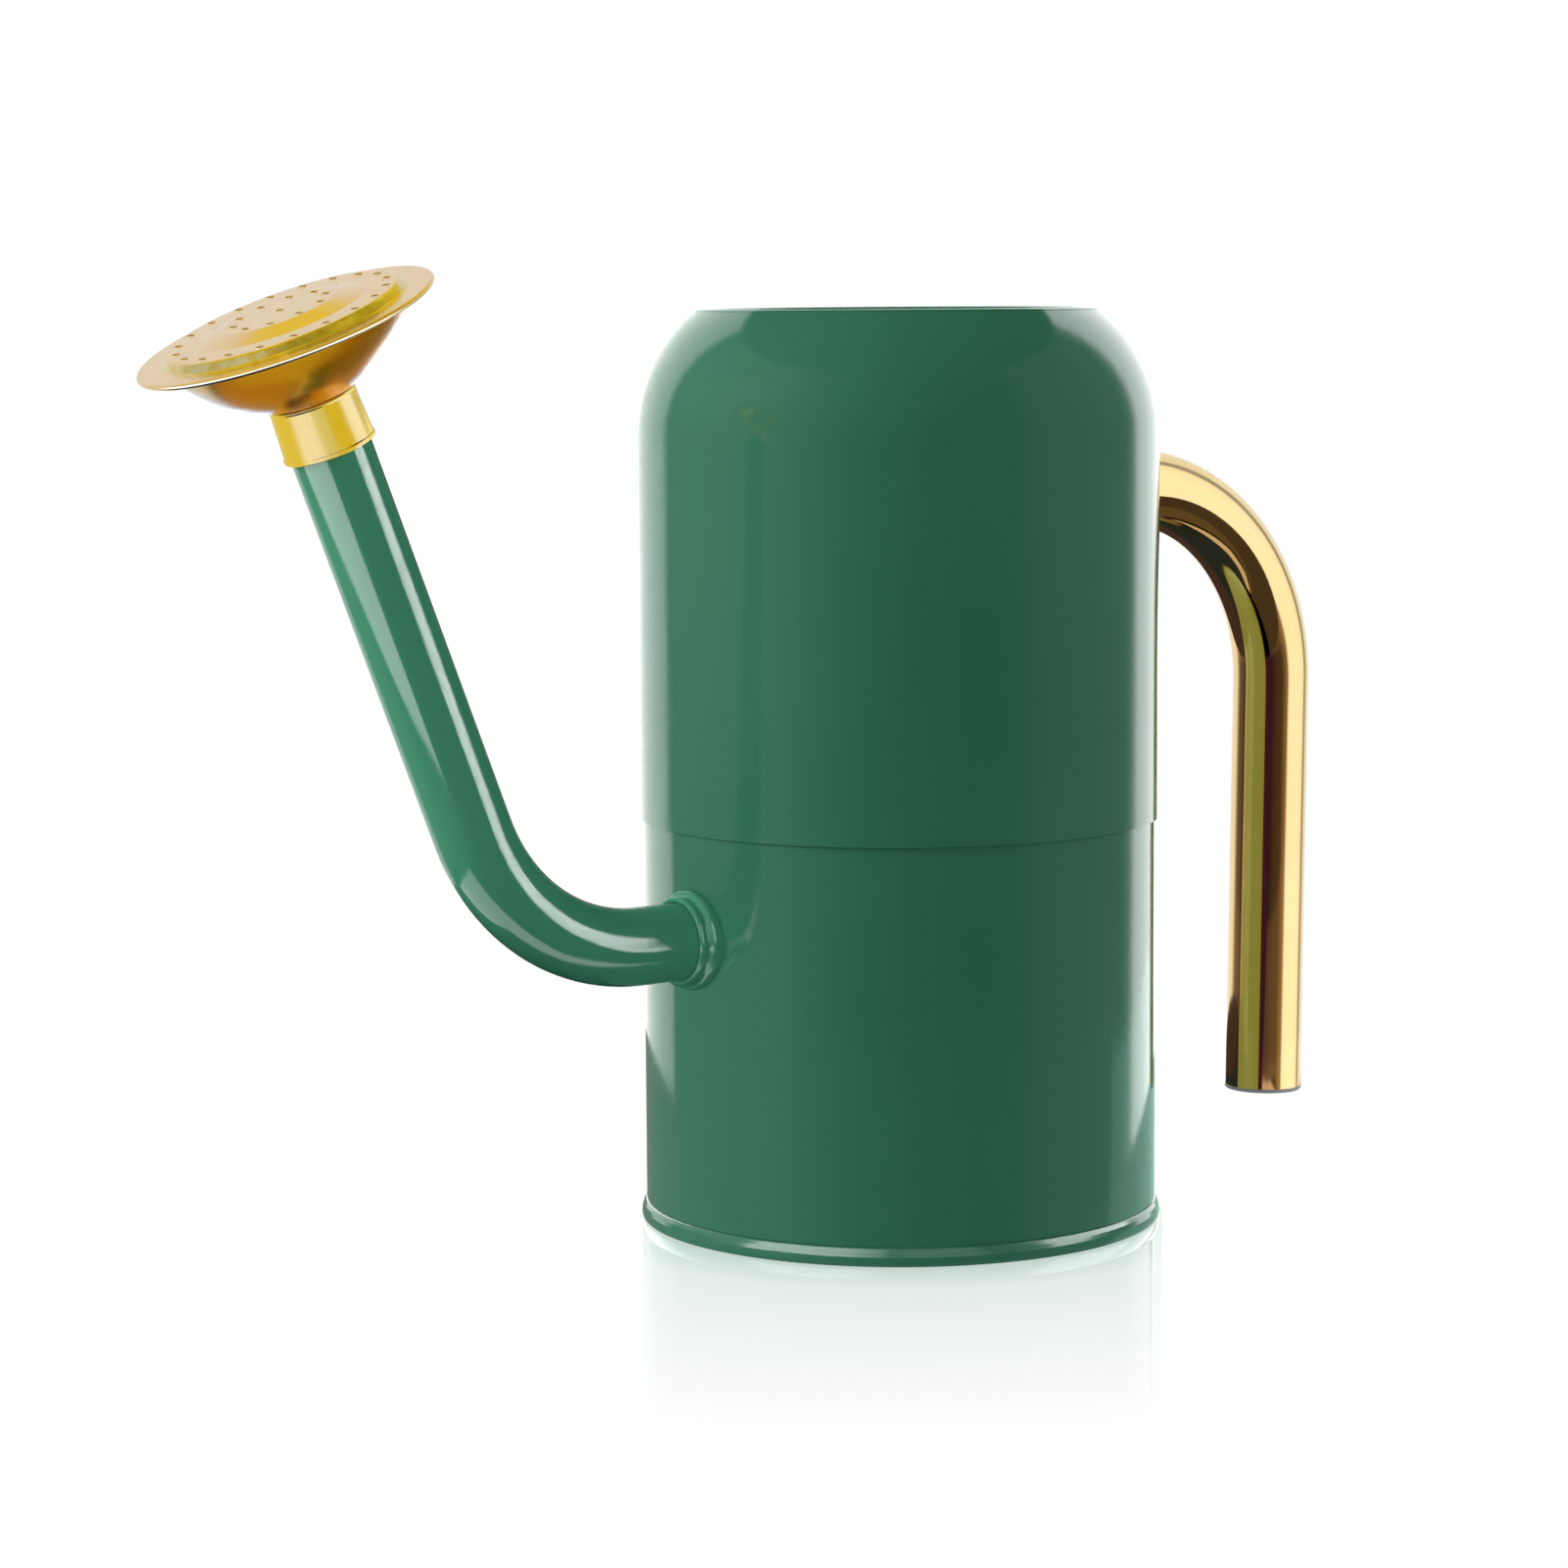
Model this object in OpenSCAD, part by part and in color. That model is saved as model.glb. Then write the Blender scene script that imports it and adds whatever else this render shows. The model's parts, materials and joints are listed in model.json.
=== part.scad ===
// Watering can: a round painted can in two shells, a bent spout with a lift-off rose
// and a cane-shaped tube handle that is held at its top only.
// Millimetres, +Z up. Origin: centre of the base at the floor. Spout towards -X, handle towards +X.

/* [Can] */
// Outside diameter of the upper shell
body_d = 142; // [132:1:152]
// Height of the can, to the top of its rim
can_h = 249; // [240:1:270]
// Height of the seam where the upper shell slips over the lower one
seam_h = 110.6; // [106:0.2:120]
// Thickness of the painted sheet
sheet = 0.7; // [0.6:0.05:0.8]
// Depth of the upper shell's overlap on the lower one
overlap = 8; // [5:1:12]
// Radius of the round shoulder
shoulder_r = 44; // [40:1:46]
// Angle that the shoulder turns through before the rim
shoulder_a = 50; // [46:1:54]
// Radius of the wire rolled into the rim
rim_wire_r = 0.9; // [0.7:0.1:1.2]
// Height of the rolled bead round the base
bead_h = 4.4; // [4:0.1:5]
// Thickness of the rolled bead
bead_w = 1.3; // [1.1:0.1:1.6]
// Height of the base plate above the floor
pan_rise = 5; // [4.5:0.5:8]

/* [Spout] */
// Outside diameter of the spout's tube
spout_d = 20.8; // [20:0.2:21.6]
// Wall of the spout's tube
spout_wall = 1; // [0.9:0.1:1.2]
// Height of the spout's root above the floor
spout_h = 82.5; // [76:0.5:90]
// Straight run from the can's widest radius to the spout's bend
spout_run = 17; // [14:0.1:22]
// Radius of the spout's bend, at the tube's centre
spout_bend_r = 54.8; // [48:0.1:62]
// Angle that the spout turns up through
spout_a = 68; // [62:1:72]
// Straight length from the bend to the tip
spout_len = 118; // [105:1:125]
// Radius of the stepped ring at the spout's root
flange_r = 13.4; // [13.2:0.1:14.5]
// Width across the flats of the lock nut inside the can
nut_af = 26; // [24:0.5:28]

/* [Rose] */
// Diameter of the rose's flat edge
rose_d = 77; // [74:1:82]
// Height of the flat edge above the spout's tip
rose_rise = 21.6; // [21.4:0.1:21.9]
// Height of the pressed step from the flat edge to the outer ring of holes
step_rise = 2.6; // [2:0.1:3]
// Height of the middle of the face above the outer ring of holes
middle_rise = 1.5; // [1:0.1:2.5]
// Depth of the socket that slips over the spout's tip
socket_depth = 11; // [8:0.1:14]
// Number of holes in the outer ring
outer_holes = 20; // [12:1:24]
// Radius of the outer ring of holes
outer_ring_r = 27.4; // [26:0.1:28]
// Number of holes in the inner ring
inner_holes = 10; // [6:1:12]
// Radius of the inner ring of holes
inner_ring_r = 12; // [10:0.1:12.5]
// Diameter of each hole
hole_d = 1.6; // [1.2:0.1:1.8]

/* [Handle] */
// Outside diameter of the handle's tube
handle_d = 22; // [21.6:0.1:22.4]
// Wall of the handle's tube
handle_wall = 1.2; // [1.1:0.1:1.4]
// Height of the handle's root above the floor
handle_h = 197.5; // [190:0.5:199]
// Straight run from the can's widest radius to the handle's bend
handle_run = 10.9; // [9:0.1:20]
// Radius of the handle's bend, at the tube's centre
handle_bend_r = 56.9; // [50:0.1:60]
// Angle that the handle turns down through
handle_a = 91; // [88:0.5:93]
// Straight length from the bend to the free end
handle_len = 120; // [95:1:125]
// Distance between the two screws
screw_pitch = 10; // [9:0.5:11]

/* [Hidden] */
$fn = 180;

paint = [0.16, 0.42, 0.31];
brass = [0.82, 0.64, 0.22];
gold = [0.86, 0.70, 0.36];
steel = [0.70, 0.71, 0.72];
black_rubber = [0.07, 0.07, 0.07];
pale_plastic = [0.78, 0.79, 0.80];

// Gaps left between faces that are glued or brazed together, between pressed ones,
// and round the wire in its roll
seat = 0.02;
press = 0.06;
wire_slack = 0.14;
body_r = body_d / 2;
lower_r = body_r - sheet - 0.05;
lower_in = lower_r - sheet;

// The rim: the sheet is rolled round its wire, a little proud of the shoulder
roll_r = rim_wire_r + sheet;
roll_reach = shoulder_r - roll_r + 0.1;
shoulder_z = can_h - roll_r - roll_reach * sin(shoulder_a);
shoulder_x = body_r - shoulder_r;
roll_x = shoulder_x + roll_reach * cos(shoulder_a);
roll_z = can_h - roll_r;

// The spout's fittings, as distances from the can's axis
spout_r = spout_d / 2;
spout_in = spout_r - spout_wall;
flange_face = body_r + 0.9;
flange_step = 1.9;
sleeve_r = spout_in - 0.05;
wall_hole_r = sleeve_r + 0.25;
saddle_face = body_r - 4.8;
nut_h = 5;

// The rose, with heights above the spout's tip
rose_r = rose_d / 2;
socket_r = spout_r + 0.1;
socket_top = 2.8;
socket_wall = 0.6;
edge_r = 0.5;
face_sheet = 0.55;
bowl_sheet = 0.6;
bowl_r = 44;
bowl_x = -4.4;
bowl_foot_r = socket_r + socket_wall - 0.1;
bowl_z = socket_top + 0.01 + sqrt(pow(bowl_r, 2) - pow(bowl_foot_r - bowl_x, 2));
bowl_seat_r = 8.5;
step_r = rose_r - 6.7;
slope_r = 22;
middle_r = 14.5;

// The handle's fittings, as distances from the can's axis
handle_r = handle_d / 2;
handle_in = handle_r - handle_wall;
gasket_t = 0.8;
saddle_r = handle_r + 1.6;
handle_face = body_r + 3.6;
screw_r = 2;
screw_hole_r = screw_r + 0.25;
plate_t = 1.5;
plate_in = body_r - sheet - press - plate_t;
washer_t = 1;
washer_face = plate_in - 0.3;
head_t = 2.6;

// ---------- shared shapes ----------

// Part of a flat ring between two angles
module ring_band(r_out, r_in, from, to) {
    intersection() {
        difference() {
            circle(r_out);
            circle(r_in);
        }
        polygon([[0, 0], for (i = [0 : 4]) 2 * r_out * dir(from + (to - from) * i / 4)]);
    }
}

function dir(a) = [cos(a), sin(a)];

// A ring standing on z0
module tube(r_out, r_in, z0, h) {
    translate([0, 0, z0]) difference() {
        cylinder(r = r_out, h = h);
        translate([0, 0, -1]) cylinder(r = r_in, h = h + 2);
    }
}

// Solid round bar along +X that turns up through an angle and runs on straight.
// The straight tail starts a little inside the bend, at a radius of its own.
module bent_bar(r, tail_r, run, bend_r, angle, tail, lead) {
    nest = 0.3;
    translate([-lead, 0, 0]) rotate([0, 90, 0]) cylinder(r = r, h = run + lead);
    translate([run, 0, bend_r]) rotate([90, 0, 0]) rotate([0, 0, -90])
        rotate_extrude(angle = angle) translate([bend_r, 0]) circle(r);
    translate([run + bend_r * sin(angle), 0, bend_r * (1 - cos(angle))])
        rotate([0, 90 - angle, 0]) translate([0, 0, -nest]) cylinder(r = tail_r, h = nest + tail + lead);
}

// Bending leaves the wall a hair thicker than in the straight tail
module bent_tube(r_out, r_in, run, bend_r, angle, tail) {
    difference() {
        bent_bar(r_out, r_out - seat, run, bend_r, angle, tail, 0);
        bent_bar(r_in, r_in + seat, run, bend_r, angle, tail, 1);
    }
}

// Local Z points out of the can along the spout's root, and is measured from the can's axis
module at_spout_root() {
    translate([0, 0, spout_h]) rotate([0, -90, 0]) children();
}

// Local Z runs along the straight part of the spout, from the tip outwards
module at_spout_tip() {
    reach = body_r + spout_run + spout_bend_r * sin(spout_a);
    climb = spout_bend_r * (1 - cos(spout_a));
    translate([-reach, 0, spout_h + climb])
        rotate([0, spout_a - 90, 0]) translate([0, 0, spout_len]) children();
}

// Local Z points out of the can along the handle's root, and is measured from the can's axis
module at_handle_root() {
    translate([0, 0, handle_h]) rotate([0, 90, 0]) children();
}

// Local Z points out of the handle's free end
module at_handle_end() {
    reach = body_r + handle_run + handle_bend_r * sin(handle_a);
    drop = handle_bend_r * (1 - cos(handle_a));
    translate([reach, 0, handle_h - drop])
        rotate([0, 90 + handle_a, 0]) translate([0, 0, handle_len]) children();
}

// Repeats its child at the places of the two handle screws
module at_screws() {
    for (side = [-1, 1]) translate([side * screw_pitch / 2, 0, 0]) children();
}

module screw_holes() {
    at_screws() cylinder(r = screw_hole_r, h = body_r + 20);
}

// ---------- can ----------

module upper_shell() {
    color(paint) difference() {
        rotate_extrude() {
            translate([body_r - sheet, seam_h]) square([sheet, shoulder_z - seam_h]);
            translate([shoulder_x, shoulder_z]) ring_band(shoulder_r, shoulder_r - sheet, 0, shoulder_a);
            translate([roll_x, roll_z]) ring_band(roll_r, rim_wire_r, shoulder_a - 8, 300);
        }
        at_handle_root() screw_holes();
    }
}

module rim_wire() {
    color(steel) rotate_extrude() translate([roll_x, roll_z]) circle(rim_wire_r - wire_slack);
}

module lower_shell() {
    seam_turn = 6;
    lower_top = seam_h + overlap;
    color(paint) difference() {
        union() {
            tube(lower_r, lower_in, 0.9, lower_top - 0.9);
            // the lapped side seam, inside and below the handle
            rotate([0, 0, -seam_turn / 2]) rotate_extrude(angle = seam_turn)
                translate([lower_in - sheet, pan_rise + 2]) square([sheet * 1.5, lower_top - pan_rise - 3]);
        }
        at_spout_root() cylinder(r = wall_hole_r, h = body_r + 5);
    }
}

module base_pan() {
    pan_r = lower_in - 0.05;
    bead_in = lower_r + 0.05;
    bead_mid = bead_in + bead_w / 2;
    color(paint) rotate_extrude() {
        translate([0, pan_rise]) square([pan_r, sheet]);
        translate([pan_r - sheet, 0]) square([sheet, pan_rise + sheet]);
        translate([pan_r - sheet, 0]) square([bead_mid - pan_r + sheet, 0.8]);
        translate([bead_in, bead_w / 2]) square([bead_w, bead_h - bead_w]);
        for (z = [bead_w / 2, bead_h - bead_w / 2]) translate([bead_mid, z]) circle(bead_w / 2);
    }
}

// ---------- spout ----------

module spout_tube() {
    color(paint) translate([-flange_face, 0, spout_h]) mirror([1, 0, 0])
        bent_tube(spout_r, spout_in, body_r + spout_run - flange_face, spout_bend_r, spout_a, spout_len);
}

// Two rounded steps round the tube
module spout_flange() {
    round_r = flange_step / 2;
    bore_r = spout_r + press;
    step_edge = spout_r + 1.7;
    color(paint) at_spout_root() translate([0, 0, flange_face]) rotate_extrude() difference() {
        union() {
            translate([bore_r - round_r, 0]) square([flange_r - bore_r, flange_step]);
            translate([flange_r - round_r, round_r]) circle(round_r);
            translate([bore_r - round_r, 0]) square([step_edge - bore_r, flange_step * 2]);
            translate([step_edge - round_r, flange_step * 1.5]) circle(round_r);
        }
        translate([0, -1]) square([bore_r, flange_step * 2 + 2]);
    }
}

// Rubber between the round wall and the flat ring
module spout_gasket() {
    color(black_rubber) difference() {
        at_spout_root() translate([0, 0, body_r - 5]) difference() {
            cylinder(r = flange_r - 0.5, h = flange_face - body_r + 5);
            translate([0, 0, -1]) cylinder(r = wall_hole_r, h = 10);
        }
        cylinder(r = lower_r + seat, h = can_h);
    }
}

// Threaded on the real one: it carries the lock nut inside the can and is brazed into the spout
module spout_sleeve() {
    inner_end = saddle_face - nut_h - 2;
    color(steel) at_spout_root() tube(sleeve_r, sleeve_r - 1.1, inner_end, flange_face + 13 - inner_end);
}

// Fills the curve between the wall's inside and the flat nut
module spout_saddle_washer() {
    color(pale_plastic) intersection() {
        at_spout_root() tube(flange_r, wall_hole_r, saddle_face, 10);
        cylinder(r = lower_in - seat, h = can_h);
    }
}

module spout_lock_nut() {
    flat_r = nut_af / 2;
    corner_r = flat_r + 2.2;
    corner_h = 1.2;
    color(steel) at_spout_root() translate([0, 0, saddle_face - seat - nut_h]) difference() {
        intersection() {
            cylinder(r = flat_r / cos(30), h = nut_h, $fn = 6);
            // turned corners
            rotate_extrude() polygon([
                [0, 0], [flat_r, 0], [corner_r, corner_h],
                [corner_r, nut_h - corner_h], [flat_r, nut_h], [0, nut_h]
            ]);
        }
        translate([0, 0, -1]) cylinder(r = sleeve_r + 0.05, h = nut_h + 2);
    }
}

// ---------- rose ----------

module rose_washer() {
    color(black_rubber) at_spout_tip() tube(socket_r - 0.08, bowl_seat_r, 0.4, 1.2);
}

// Socket that tapers a little towards the bowl, with a turned lip at its mouth
module rose_collar() {
    mouth_r = socket_r + 1.5;
    color(brass) at_spout_tip() rotate_extrude() polygon([
        [socket_r, -socket_depth], [mouth_r - 0.25, -socket_depth], [mouth_r, -socket_depth + 0.3],
        [mouth_r, -socket_depth + 0.9], [mouth_r - 0.25, -socket_depth + 1.2],
        [socket_r + socket_wall, socket_top], [socket_r, socket_top]
    ]);
}

// Spun bowl: a flat seat on the socket, a round wall and a flat edge
module rose_bowl() {
    edge_z = rose_rise - 2 * edge_r;
    edge_t = 2 * edge_r - face_sheet - seat;
    foot_a = -acos((bowl_foot_r - bowl_x) / bowl_r);
    edge_a = -asin((bowl_z - edge_z - 0.1) / bowl_r);
    edge_x = bowl_x + (bowl_r - bowl_sheet) * cos(edge_a);
    seat_w = socket_r + socket_wall + 0.2 - bowl_seat_r;
    color(brass) at_spout_tip() rotate_extrude() {
        translate([bowl_seat_r, socket_top]) square([seat_w, bowl_sheet]);
        translate([bowl_x, bowl_z]) ring_band(bowl_r, bowl_r - bowl_sheet, foot_a, edge_a);
        translate([edge_x, edge_z]) square([rose_r - 2 * edge_r - 0.1 - edge_x, edge_t]);
    }
}

// Pressed face: a flat edge with a rounded hem, a step up to the outer ring of holes,
// and a slope up to the raised middle
module rose_face() {
    ring_z = rose_rise + step_rise;
    middle_z = ring_z + middle_rise;
    hem_x = rose_r - edge_r;
    hem = [for (a = [90 : -30 : -90]) [hem_x, rose_rise - edge_r] + edge_r * dir(a)];
    top = [
        [0, middle_z], [middle_r, middle_z], [slope_r, ring_z],
        [step_r - 1.8, ring_z], [step_r, rose_rise]
    ];
    under = [
        [hem_x - 0.4, rose_rise - face_sheet], [step_r - 0.4, rose_rise - face_sheet],
        [step_r - 2.2, ring_z - face_sheet], [slope_r - 0.1, ring_z - face_sheet],
        [middle_r - 0.1, middle_z - face_sheet], [0, middle_z - face_sheet]
    ];
    color(brass) at_spout_tip() difference() {
        rotate_extrude() polygon([each top, each hem, each under]);
        spray_hole(0, 0);
        for (i = [0 : inner_holes - 1]) spray_hole(inner_ring_r, 28 + 360 * i / inner_holes);
        for (i = [0 : outer_holes - 1]) spray_hole(outer_ring_r, 10 + 360 * i / outer_holes);
    }
}

module spray_hole(ring_r, turn) {
    rotate([0, 0, turn]) translate([ring_r, 0, rose_rise]) cylinder(d = hole_d, h = 10);
}

// ---------- handle ----------

module handle_tube() {
    run = body_r + handle_run - handle_face;
    color(gold) translate([handle_face, 0, handle_h]) mirror([0, 0, 1])
        bent_tube(handle_r, handle_in, run, handle_bend_r, handle_a, handle_len);
}

module handle_end_plug() {
    lip_t = 1.1;
    lip_r = handle_r + 0.15;
    plug_r = handle_in - 0.05;
    color(pale_plastic) at_handle_end() rotate_extrude() polygon([
        [0, -8], [plug_r - 0.5, -8], [plug_r, -7.5], [plug_r, 0],
        [lip_r, 0], [lip_r, lip_t - 0.4], [lip_r - 0.4, lip_t], [0, lip_t]
    ]);
}

// Turned washer, flat to the tube and curved to the can
module handle_saddle() {
    color(gold) difference() {
        at_handle_root() translate([0, 0, body_r - 5]) difference() {
            cylinder(r = saddle_r, h = handle_face - body_r + 5);
            translate([0, 0, -body_r]) screw_holes();
        }
        cylinder(r = body_r + gasket_t + seat, h = can_h);
    }
}

module handle_gasket() {
    color(black_rubber) intersection() {
        tube(body_r + gasket_t, body_r + seat, handle_h - 20, 40);
        at_handle_root() difference() {
            cylinder(r = saddle_r - 0.4, h = body_r + 5);
            translate([0, 0, -1]) screw_holes();
        }
    }
}

// Tapped plug in the tube's root
module handle_insert() {
    color(steel) at_handle_root() translate([0, 0, handle_face]) difference() {
        cylinder(r = handle_in - 0.1, h = 9);
        translate([0, 0, -1]) at_screws() cylinder(r = screw_r + 0.05, h = 8.5);
    }
}

module handle_backing_plate() {
    color(steel) intersection() {
        tube(plate_in + plate_t, plate_in, handle_h - 20, 40);
        at_handle_root() difference() {
            intersection() {
                translate([-17, -12, 0]) cube([34, 24, body_r]);
                cylinder(r = 18.5, h = body_r);
            }
            translate([0, 0, -1]) screw_holes();
        }
    }
}

// Two split spring washers
module handle_lock_washers() {
    color(steel) at_handle_root() translate([0, 0, washer_face - washer_t]) at_screws() difference() {
        cylinder(r = 3.8, h = washer_t);
        translate([0, 0, -1]) cylinder(r = screw_r + 0.1, h = washer_t + 2);
        translate([0, -0.4, -1]) cube([5, 0.8, washer_t + 2]);
    }
}

// Two socket screws, put in from inside the can
module handle_screws() {
    head_z = washer_face - washer_t - seat - head_t;
    color(steel) at_handle_root() translate([0, 0, head_z]) at_screws() difference() {
        union() {
            rotate_extrude() polygon([[0, 0], [3, 0], [3.8, 0.8], [3.8, head_t], [0, head_t]]);
            cylinder(r = screw_r, h = handle_face + 7 - head_z);
        }
        translate([0, 0, -1]) cylinder(r = 1.7, h = 2.6, $fn = 6);
    }
}

upper_shell();
rim_wire();
lower_shell();
base_pan();
spout_tube();
spout_flange();
spout_gasket();
spout_sleeve();
spout_saddle_washer();
spout_lock_nut();
rose_washer();
rose_collar();
rose_bowl();
rose_face();
handle_tube();
handle_end_plug();
handle_saddle();
handle_gasket();
handle_insert();
handle_backing_plate();
handle_lock_washers();
handle_screws();
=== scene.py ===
"""Looks of the watering can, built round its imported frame. Metres, +Z up, spout towards -X."""
import json
import math

import bmesh
import bpy
from mathutils import Matrix, Vector


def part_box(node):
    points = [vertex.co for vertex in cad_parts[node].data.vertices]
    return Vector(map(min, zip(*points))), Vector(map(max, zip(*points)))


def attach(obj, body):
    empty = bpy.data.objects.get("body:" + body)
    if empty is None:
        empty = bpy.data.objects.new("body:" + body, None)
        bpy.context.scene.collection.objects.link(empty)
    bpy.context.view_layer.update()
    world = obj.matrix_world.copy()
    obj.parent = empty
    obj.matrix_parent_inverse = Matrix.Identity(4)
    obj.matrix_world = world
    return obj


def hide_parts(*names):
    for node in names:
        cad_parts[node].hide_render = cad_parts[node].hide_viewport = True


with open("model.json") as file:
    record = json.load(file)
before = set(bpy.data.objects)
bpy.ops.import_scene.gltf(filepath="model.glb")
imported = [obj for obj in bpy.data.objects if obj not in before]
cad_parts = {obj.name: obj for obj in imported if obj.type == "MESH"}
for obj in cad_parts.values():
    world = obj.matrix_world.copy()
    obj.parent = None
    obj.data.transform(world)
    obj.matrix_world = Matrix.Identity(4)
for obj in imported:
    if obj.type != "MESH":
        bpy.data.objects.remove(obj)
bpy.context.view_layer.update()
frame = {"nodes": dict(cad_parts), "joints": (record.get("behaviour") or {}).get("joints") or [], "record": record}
MM = 0.001


# ---------- camera ----------

CAMERA_AIM = Vector((-0.0253, 0.0189, 0.1192))
CAMERA_DISTANCE = 1.191
CAMERA_AZIMUTH = -36.75
CAMERA_ELEVATION = 6.63
CAMERA_ROLL = -0.36
CAMERA_LENS = 99.6


def add_camera():
    turn = Matrix.Rotation(math.radians(CAMERA_AZIMUTH), 4, "Z")
    tilt = Matrix.Rotation(math.radians(90 - CAMERA_ELEVATION), 4, "X")
    roll = Matrix.Rotation(math.radians(CAMERA_ROLL), 4, "Z")
    data = bpy.data.cameras.new("camera")
    data.lens = CAMERA_LENS
    data.sensor_width = 36
    camera = bpy.data.objects.new("camera", data)
    aimed = turn @ tilt @ roll
    camera.matrix_world = Matrix.Translation(CAMERA_AIM + aimed.col[2].to_3d() * CAMERA_DISTANCE) @ aimed
    bpy.context.scene.collection.objects.link(camera)
    bpy.context.scene.camera = camera


# ---------- shaders ----------

class Shader:
    """A material's node tree, with a short way to add a node and wire it."""

    def __init__(self, name):
        self.material = bpy.data.materials.new(name)
        self.material.use_nodes = True
        self.tree = self.material.node_tree
        self.tree.nodes.clear()

    def node(self, kind, settings=None, **inputs):
        made = self.tree.nodes.new(kind)
        for key, value in (settings or {}).items():
            setattr(made, key, value)
        for key, value in inputs.items():
            self.wire(made.inputs[key.replace("_", " ")], value)
        return made

    def wire(self, socket, value):
        if isinstance(value, bpy.types.NodeSocket):
            self.tree.links.new(value, socket)
        else:
            socket.default_value = value

    def finish(self, surface):
        out = self.tree.nodes.new("ShaderNodeOutputMaterial")
        self.tree.links.new(surface, out.inputs["Surface"])
        return self.material

    def place(self):
        """Where on the piece, in metres and in the piece's own axes. The rose's pieces have their Z along
        the spout, and the others share the frame's axes."""
        return self.node("ShaderNodeTexCoord").outputs["Object"]

    def stretched(self, scale):
        return self.node("ShaderNodeMapping", Vector=self.place(), Scale=scale).outputs["Vector"]

    def noise(self, scale, detail=3.0, where=None):
        made = self.node("ShaderNodeTexNoise", Vector=where or self.place(), Scale=scale, Detail=detail)
        return made.outputs["Fac"]

    def spread(self, value, low, high, out_low, out_high):
        made = self.node("ShaderNodeMapRange")
        self.wire(made.inputs["Value"], value)
        limits = {"From Min": low, "From Max": high, "To Min": out_low, "To Max": out_high}
        for key, number in limits.items():
            made.inputs[key].default_value = number
        return made.outputs["Result"]

    def blend(self, share, first, second):
        made = self.node("ShaderNodeMix", {"data_type": "RGBA"})
        for socket, value in ((made.inputs[0], share), (made.inputs[6], first), (made.inputs[7], second)):
            self.wire(socket, value)
        return made.outputs[2]

    def bump(self, height, depth, strength=1.0, after=None):
        made = self.node("ShaderNodeBump", Height=height, Distance=depth, Strength=strength)
        if after:
            self.wire(made.inputs["Normal"], after)
        return made.outputs["Normal"]


def rgb(r, g, b):
    return (r, g, b, 1.0)


WHITE = rgb(1, 1, 1)


def green_enamel():
    s = Shader("green_enamel")
    tone = s.spread(s.noise(9.0, 4.0), 0.35, 0.65, 0.0, 1.0)
    colour = s.blend(tone, rgb(0.055, 0.272, 0.156), rgb(0.063, 0.298, 0.172))
    peel = s.bump(s.noise(420.0, 2.0), 0.00004, 0.25)
    waves = s.bump(s.noise(28.0, 2.0), 0.0006, 0.10, peel)
    rough = s.spread(s.noise(60.0, 3.0), 0.3, 0.7, 0.09, 0.13)
    paint = s.node("ShaderNodeBsdfPrincipled", Base_Color=colour, Roughness=rough, Normal=waves)
    paint.inputs["IOR"].default_value = 1.5
    return s.finish(paint.outputs["BSDF"])


def metal(name, light, dark, rough_low, rough_high, grain=120.0, grain_scale=(1, 1, 1), depth=0.00002,
          mottle=35.0):
    """Bare metal: cloudy colour, and fine lines that change the gloss and catch the light."""
    s = Shader(name)
    tone = s.spread(s.noise(mottle, 4.0), 0.3, 0.7, 0.0, 1.0)
    lines = s.noise(grain, 3.0, s.stretched(grain_scale))
    rough = s.spread(lines, 0.3, 0.7, rough_low, rough_high)
    surface = s.node("ShaderNodeBsdfPrincipled", Base_Color=s.blend(tone, light, dark), Roughness=rough,
                     Normal=s.bump(lines, depth, 0.3))
    surface.inputs["Metallic"].default_value = 1.0
    return s.finish(surface.outputs["BSDF"])


FACE_STEP_R = 30.9


def rose_face_brass():
    """Lacquered sheet brass, with the step round the face roughened and tarnished by the press."""
    s = Shader("brass_face")
    flat = s.node("ShaderNodeVectorMath", {"operation": "MULTIPLY"})
    s.wire(flat.inputs[0], s.place())
    s.wire(flat.inputs[1], (1, 1, 0))
    radius = s.node("ShaderNodeVectorMath", {"operation": "LENGTH"})
    s.wire(radius.inputs[0], flat.outputs["Vector"])
    from_step = s.node("ShaderNodeMath", {"operation": "SUBTRACT"})
    s.wire(from_step.inputs[0], radius.outputs["Value"])
    s.wire(from_step.inputs[1], FACE_STEP_R * MM)
    distance = s.node("ShaderNodeMath", {"operation": "ABSOLUTE"})
    s.wire(distance.inputs[0], from_step.outputs["Value"])
    on_step = s.spread(distance.outputs["Value"], 0.7 * MM, 1.3 * MM, 1.0, 0.0)
    pits = s.noise(330.0, 3.0)
    tarnish = s.blend(s.spread(pits, 0.38, 0.60, 0.0, 1.0), rgb(0.74, 0.56, 0.10), rgb(0.76, 0.70, 0.30))
    clouds = s.spread(s.noise(60.0, 4.0), 0.3, 0.7, 0.0, 1.0)
    sheet = s.blend(clouds, rgb(0.84, 0.63, 0.25), rgb(0.82, 0.59, 0.20))
    fine = s.bump(s.noise(1800.0, 2.0), 0.000006, 0.2)
    deep = s.node("ShaderNodeBump", Height=pits, Distance=0.00009, Strength=on_step)
    s.wire(deep.inputs["Normal"], fine)
    rough = s.spread(s.noise(300.0, 3.0), 0.3, 0.7, 0.16, 0.26)
    surface = s.node("ShaderNodeBsdfPrincipled", Base_Color=s.blend(on_step, sheet, tarnish), Roughness=rough,
                     Normal=deep.outputs["Normal"])
    surface.inputs["Metallic"].default_value = 1.0
    surface.inputs["Coat Weight"].default_value = 0.8
    surface.inputs["Coat Roughness"].default_value = 0.15
    return s.finish(surface.outputs["BSDF"])


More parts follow.
